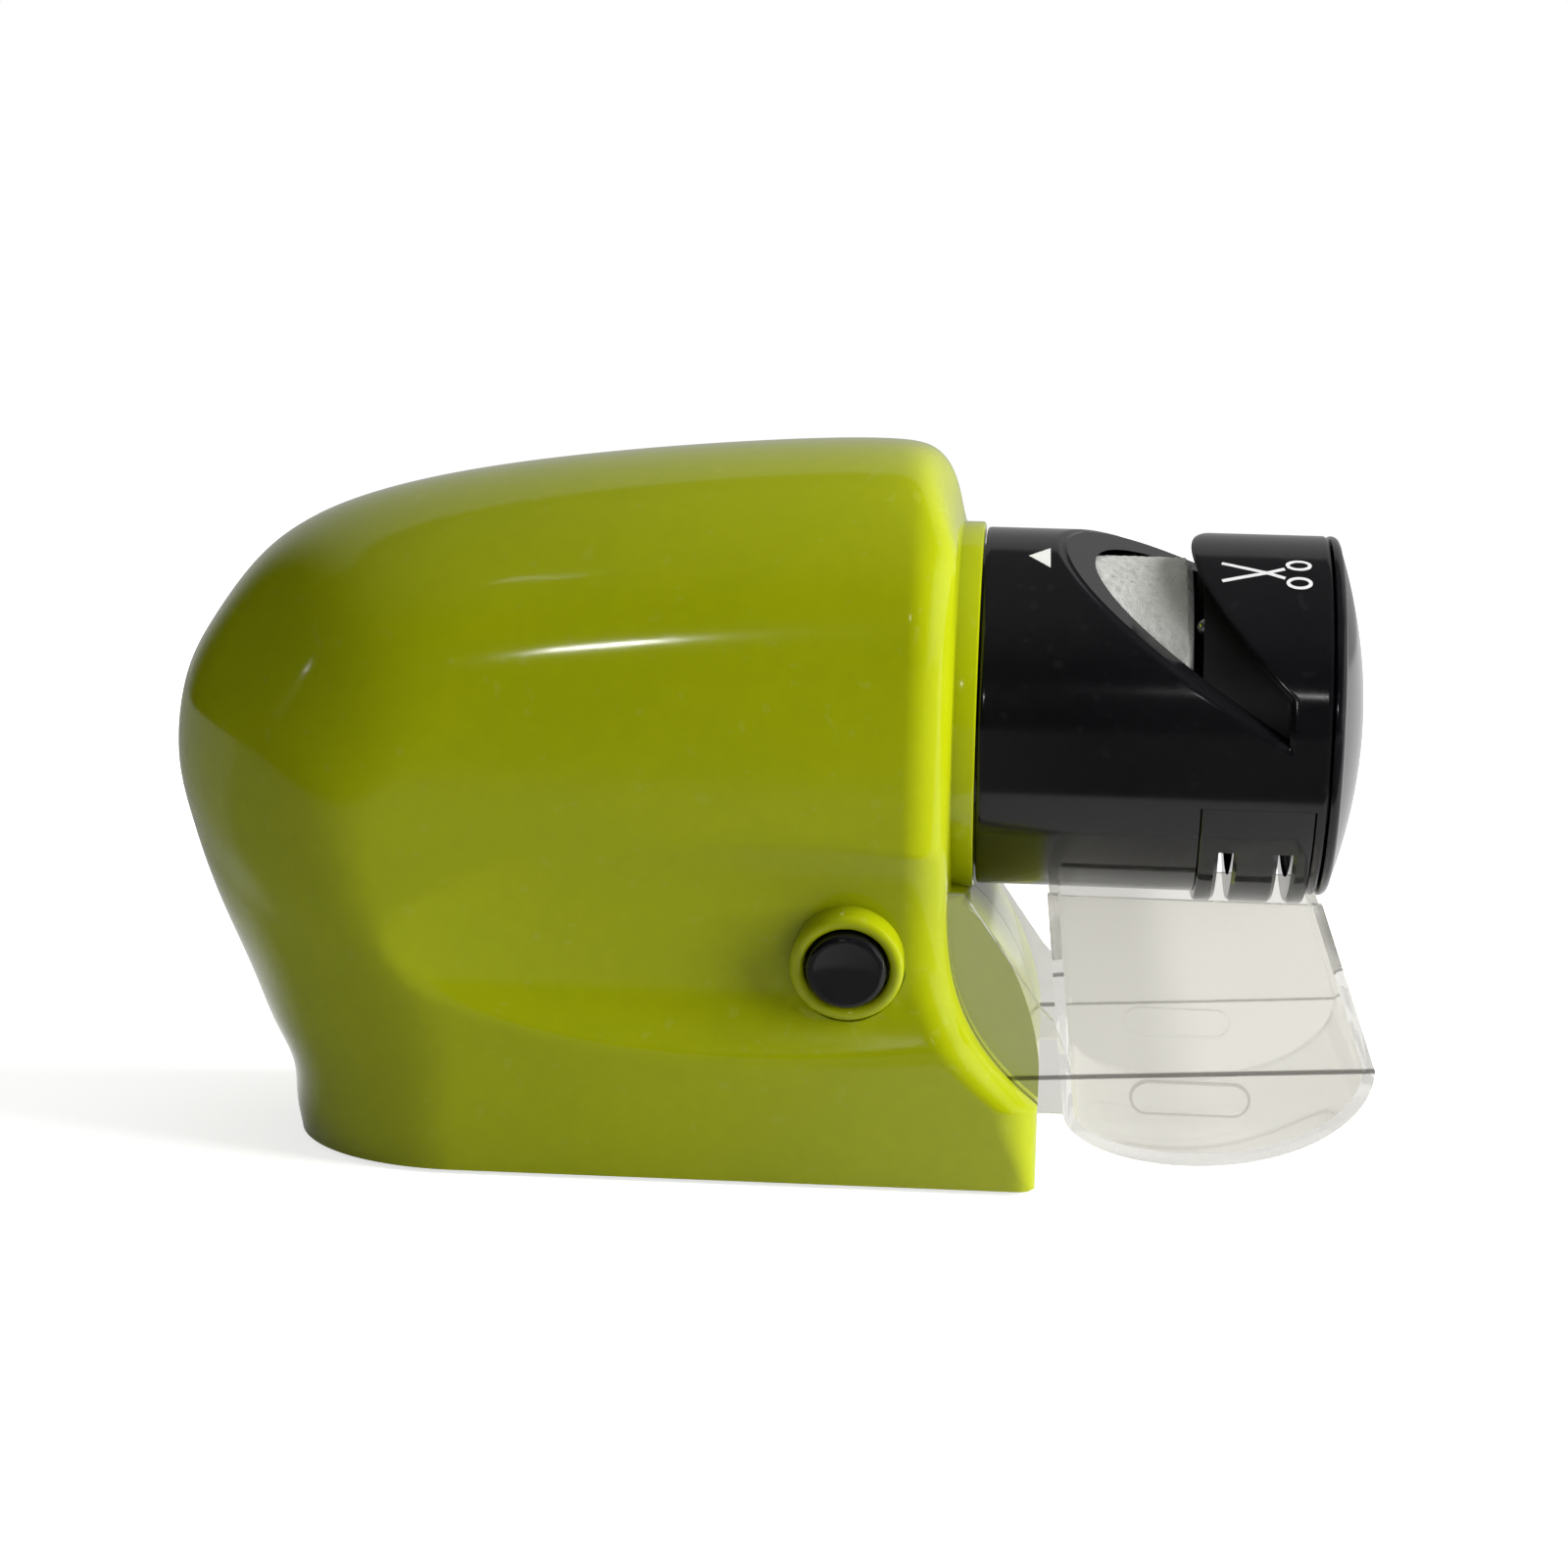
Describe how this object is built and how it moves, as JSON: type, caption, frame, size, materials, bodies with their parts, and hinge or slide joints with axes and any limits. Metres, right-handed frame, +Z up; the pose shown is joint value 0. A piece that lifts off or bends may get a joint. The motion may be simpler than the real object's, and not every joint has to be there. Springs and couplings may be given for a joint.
{
  "type": "electric knife sharpener",
  "caption": "Battery-powered sharpener with a tapered green body, a turning black head that has a slanted scissors slot and knife slots, a side button and a clear debris tray.",
  "frame": {"origin": "on the table, under the middle of the whole object", "axes": "+X from the body towards the turning head, +Z up, -Y towards the side with the power button"},
  "size_m": [0.1683, 0.0746, 0.0999],
  "materials": {
    "green_body": "polished lime green moulding",
    "black_gloss": "polished black moulding",
    "black_matte": "plain black moulding",
    "cream_plastic": "plain moulding",
    "abrasive": "fine bonded abrasive",
    "clear_plastic": "clear moulding",
    "steel": "bright steel",
    "brass": "plain brass strip",
    "rubber": "soft matt rubber",
    "cell_sleeve": "plain printed sleeve"
  },
  "bodies": {
    "housing": {"near_housing": "green_body", "far_housing": "green_body", "button_bezel": "green_body", "motor_plate": "black_matte", "battery_cradle": "black_matte", "power_switch": "black_matte", "motor_end_bell": "cream_plastic", "body_screw_nose": "steel", "body_screw_crown": "steel", "body_screw_collar": "steel", "body_screw_rear": "steel", "body_screw_toe": "steel", "foot_rear_near": "rubber", "foot_rear_far": "rubber", "foot_front_near": "rubber", "foot_front_far": "rubber", "battery_near_low": "cell_sleeve", "cell_spring_near_low": "steel", "battery_near_high": "cell_sleeve", "cell_spring_near_high": "steel", "battery_far_low": "cell_sleeve", "cell_spring_far_low": "steel", "battery_far_high": "cell_sleeve", "cell_spring_far_high": "steel", "front_contact_near": "steel", "rear_contact_near": "steel", "motor_terminal_near": "brass", "motor_screw_near": "steel", "front_contact_far": "steel", "rear_contact_far": "steel", "motor_terminal_far": "brass", "motor_screw_far": "steel", "rear_contact_link": "steel", "motor_can": "steel", "detent_ball": "steel", "detent_spring": "steel", "button_spring": "steel"},
    "head": {"head_drum": "black_gloss", "head_end_cap": "black_gloss", "scissor_guide": "black_matte", "blade_rest_pin": "steel", "knife_guide": "black_gloss"},
    "spindle": {"motor_shaft": "steel", "wheel_arbor": "steel", "scissor_wheel": "abrasive", "wheel_spacer": "black_matte", "knife_wheel": "abrasive", "arbor_washer": "steel", "arbor_nut": "steel"},
    "button": {"button_cap": "black_gloss"},
    "tray": {"debris_tray": "clear_plastic"},
    "door": {"battery_door": "green_body"}
  },
  "joints": [
    {"name": "head_turn", "type": "hinge", "parent": "housing", "child": "head", "pos_m": [0.02945, 0, 0.063], "axis": [1, 0, 0], "range_deg": [0, 180]},
    {"name": "spindle_spin", "type": "hinge", "parent": "housing", "child": "spindle", "pos_m": [0.02945, 0, 0.063], "axis": [1, 0, 0], "continuous": true},
    {"name": "button_press", "type": "slide", "parent": "housing", "child": "button", "axis": [0, 0.9659, 0.2588], "range_m": [0, 0.0016], "stiffness_N_per_m": 500, "springref_m": -0.001, "deforming": ["button_spring"]},
    {"name": "tray_slide", "type": "slide", "parent": "housing", "child": "tray", "axis": [1, 0, 0], "range_m": [0, 0.021]},
    {"name": "battery_door_hinge", "type": "hinge", "parent": "housing", "child": "door", "pos_m": [0.01845, 0, 0.0006], "axis": [0, -1, 0], "range_deg": [0, 75]}
  ]
}
